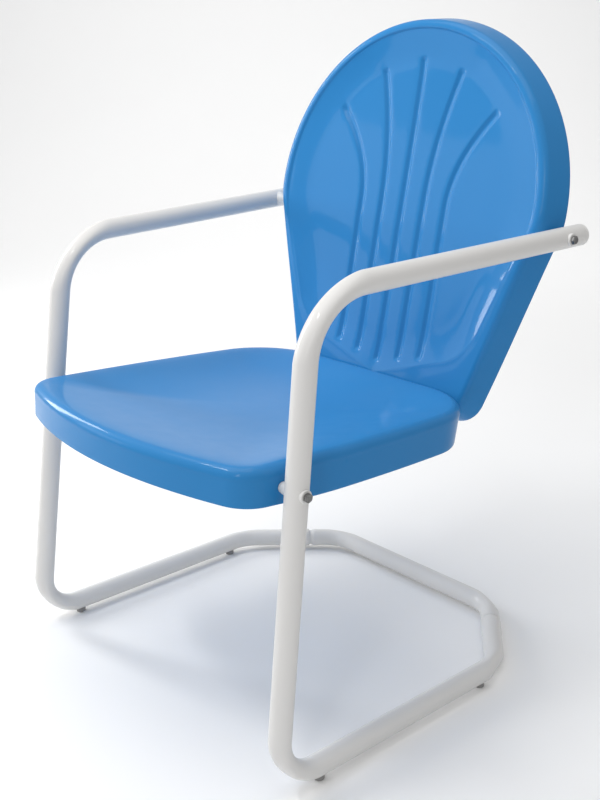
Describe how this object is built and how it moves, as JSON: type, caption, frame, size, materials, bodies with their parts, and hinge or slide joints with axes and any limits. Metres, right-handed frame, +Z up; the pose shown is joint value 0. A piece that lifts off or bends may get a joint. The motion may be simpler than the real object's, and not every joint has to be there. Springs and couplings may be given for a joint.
{
  "type": "lawn chair",
  "caption": "Metal lawn chair with a dished steel seat, a rounded ribbed back shell and a springy bent-tube frame whose open front lets it rock back a little",
  "frame": {"origin": "middle of the bounding box's footprint, at the floor that the four glides rest on", "axes": "+Z up, -Y towards the front that a sitter faces, +X towards the sitter's left hand"},
  "size_m": [0.6024, 0.6152, 0.8822],
  "materials": {
    "white_paint": "glossy powder coat",
    "blue_paint": "glossy powder coat",
    "zinc": "zinc plated",
    "white_plastic": "moulded, satin",
    "grey_plastic": "moulded, matt"
  },
  "bodies": {
    "base": {"spring_bend_left": "white_paint", "spring_bend_right": "white_paint", "floor_rail_left": "white_paint", "floor_rail_right": "white_paint", "joint_screw_left": "zinc", "joint_screw_right": "zinc", "glide_front_left": "grey_plastic", "glide_front_right": "grey_plastic", "glide_rear_left": "grey_plastic", "glide_rear_right": "grey_plastic", "rear_cross_tube": "white_paint"},
    "seat_frame": {"arm_and_leg_left": "white_paint", "arm_and_leg_right": "white_paint", "seat_pan": "blue_paint", "back_shell": "blue_paint", "seat_bolt_left": "zinc", "seat_bolt_right": "zinc", "arm_bolt_left": "zinc", "arm_bolt_right": "zinc", "seat_nut_left": "zinc", "seat_nut_right": "zinc", "arm_nut_left": "zinc", "arm_nut_right": "zinc", "joining_bolt_1": "zinc", "joining_bolt_2": "zinc", "joining_bolt_3": "zinc", "joining_nut_1": "zinc", "joining_nut_2": "zinc", "joining_nut_3": "zinc", "seat_washer_left": "white_plastic", "seat_washer_right": "white_plastic", "arm_washer_left": "white_plastic", "arm_washer_right": "white_plastic", "seat_spacer_left": "white_plastic", "seat_spacer_right": "white_plastic", "arm_spacer_left": "white_plastic", "arm_spacer_right": "white_plastic", "arm_plug_left": "white_plastic", "arm_plug_right": "white_plastic"}
  },
  "joints": [
    {"name": "frame_spring", "type": "hinge", "parent": "base", "child": "seat_frame", "pos_m": [0, -0.23117, 0.041], "axis": [-1, 0, 0], "range_deg": [-1, 4], "stiffness_Nm_per_rad": 4000, "springref_deg": -0.25, "deforming": ["spring_bend_left", "spring_bend_right"]}
  ]
}
